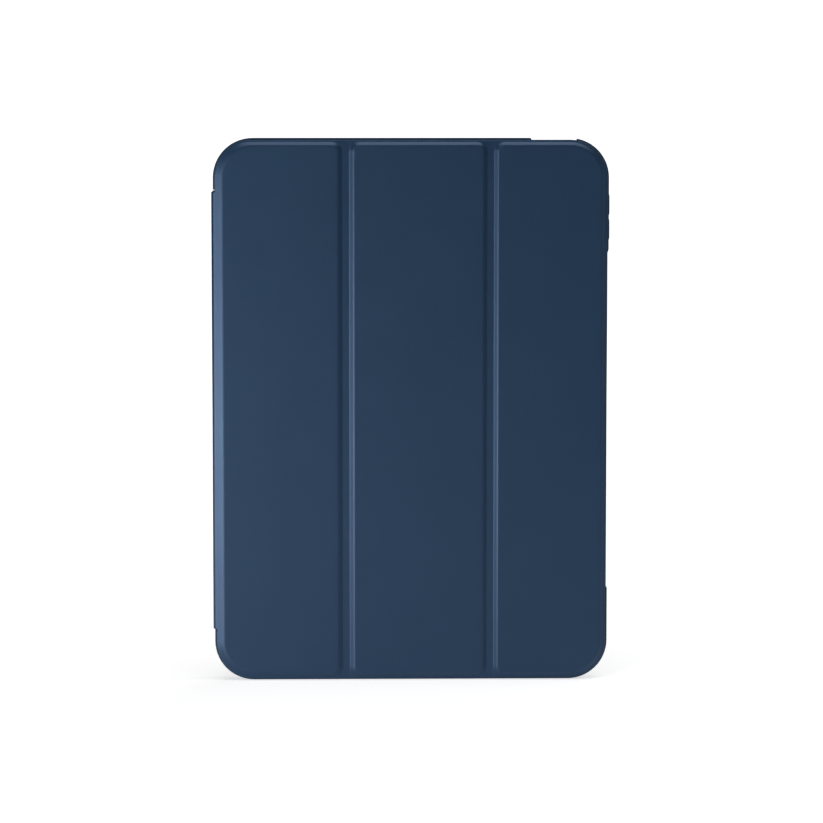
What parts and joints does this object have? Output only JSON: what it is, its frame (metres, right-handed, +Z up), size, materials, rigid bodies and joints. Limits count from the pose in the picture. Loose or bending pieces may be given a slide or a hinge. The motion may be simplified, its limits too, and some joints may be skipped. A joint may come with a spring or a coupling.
{
  "type": "tablet folio case",
  "caption": "Slim folio case for a tablet: a rimmed rear shell with a hinged folding cover that closes over the screen or folds into a stand.",
  "frame": {"origin": "middle of the base, where the closed case stands upright on its bottom edge", "axes": "+Z up along the tablet's long side, -Y out of the front cover, +X to the right seen from the front, with the spine at -X"},
  "size_m": [0.1836, 0.0122, 0.2516],
  "materials": {
    "cover_skin": "smooth navy synthetic leather, soft satin",
    "lining": "short-pile microfibre",
    "rim": "matte navy soft moulding",
    "back": "matte navy moulding",
    "board": "plain grey stiffener board",
    "magnet": "nickel-plated magnet"
  },
  "bodies": {
    "rear_shell": {"bumper_frame": "rim", "back_plate": "back", "back_lining": "lining", "camera_ring": "rim", "hinge_flap": "cover_skin"},
    "volume_up": {"volume_up_cover": "rim"},
    "volume_down": {"volume_down_cover": "rim"},
    "spine": {"spine_skin": "cover_skin", "spine_board": "board", "spine_lining": "lining"},
    "panel_1": {"panel_1_skin": "cover_skin", "panel_1_board": "board", "panel_1_lining": "lining", "stand_magnets": "magnet"},
    "fold_strip_1": {"fold_1_skin": "cover_skin", "fold_1_lining": "lining"},
    "panel_2": {"panel_2_skin": "cover_skin", "panel_2_board": "board", "panel_2_lining": "lining"},
    "fold_strip_2": {"fold_2_skin": "cover_skin", "fold_2_lining": "lining"},
    "panel_3": {"panel_3_skin": "cover_skin", "panel_3_board": "board", "panel_3_lining": "lining", "closing_magnets": "magnet", "wake_magnet": "magnet"}
  },
  "joints": [
    {"name": "cover_swing", "type": "hinge", "parent": "rear_shell", "child": "spine", "pos_m": [-0.0912, 0.0051, 0.1256], "axis": [0, 0, -1], "range_deg": [0, 178]},
    {"name": "front_hinge", "type": "hinge", "parent": "spine", "child": "panel_1", "pos_m": [-0.0912, -0.0036, 0.1256], "axis": [0, 0, -1], "range_deg": [0, 178]},
    {"name": "stand_fold_1", "type": "hinge", "parent": "panel_1", "child": "fold_strip_1", "pos_m": [-0.03085, -0.0033, 0.1258], "axis": [0, 0, 1], "range_deg": [0, 127.5]},
    {"name": "peel_fold_1", "type": "hinge", "parent": "fold_strip_1", "child": "panel_2", "pos_m": [-0.02915, -0.0052, 0.1258], "axis": [0, 0, -1], "range_deg": [0, 115]},
    {"name": "stand_fold_2", "type": "hinge", "parent": "panel_2", "child": "fold_strip_2", "pos_m": [0.0359, -0.0033, 0.1258], "axis": [0, 0, 1], "range_deg": [0, 127.3]},
    {"name": "peel_fold_2", "type": "hinge", "parent": "fold_strip_2", "child": "panel_3", "pos_m": [0.0376, -0.0052, 0.1258], "axis": [0, 0, -1], "range_deg": [0, 150]},
    {"name": "volume_up_press", "type": "slide", "parent": "rear_shell", "child": "volume_up", "axis": [-1, 0, 0], "range_m": [0, 0.0004], "stiffness_N_per_m": 1200},
    {"name": "volume_down_press", "type": "slide", "parent": "rear_shell", "child": "volume_down", "axis": [-1, 0, 0], "range_m": [0, 0.0004], "stiffness_N_per_m": 1200}
  ],
  "couplings": [
    {"joint": "front_hinge", "follows": "cover_swing", "ratio": 1},
    {"joint": "stand_fold_1", "follows": "cover_swing", "ratio": 0.71629},
    {"joint": "stand_fold_2", "follows": "cover_swing", "ratio": 0.71517}
  ]
}
